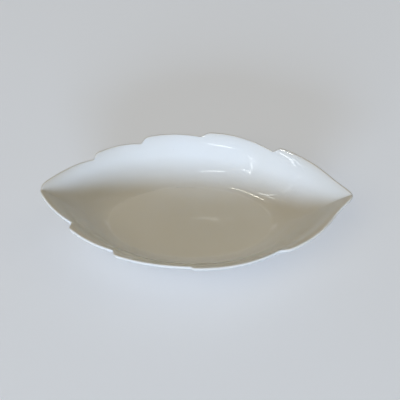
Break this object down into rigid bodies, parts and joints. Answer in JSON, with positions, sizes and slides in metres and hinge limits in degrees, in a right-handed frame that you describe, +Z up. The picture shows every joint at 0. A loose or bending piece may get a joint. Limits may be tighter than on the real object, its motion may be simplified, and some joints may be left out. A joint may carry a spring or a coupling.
{
  "type": "leaf shaped plate",
  "caption": "Deep glazed serving dish in the shape of a serrated leaf, with a flat oval well, a rounded lip, raised tips and an unglazed foot ring.",
  "frame": {"origin": "middle of the outline seen from above, in the plane of the table that the foot ring stands on", "axes": "+X from the left tip to the right tip of the leaf, +Y from the near side to the far side, +Z up out of the dish"},
  "size_m": [0.3, 0.1612, 0.0619],
  "materials": {
    "glaze": "glossy white glaze over porcelain",
    "bisque": "unglazed, ground flat and smoothed"
  },
  "bodies": {
    "root": {"leaf_shell": "glaze", "foot_ring": "bisque"}
  },
  "joints": []
}
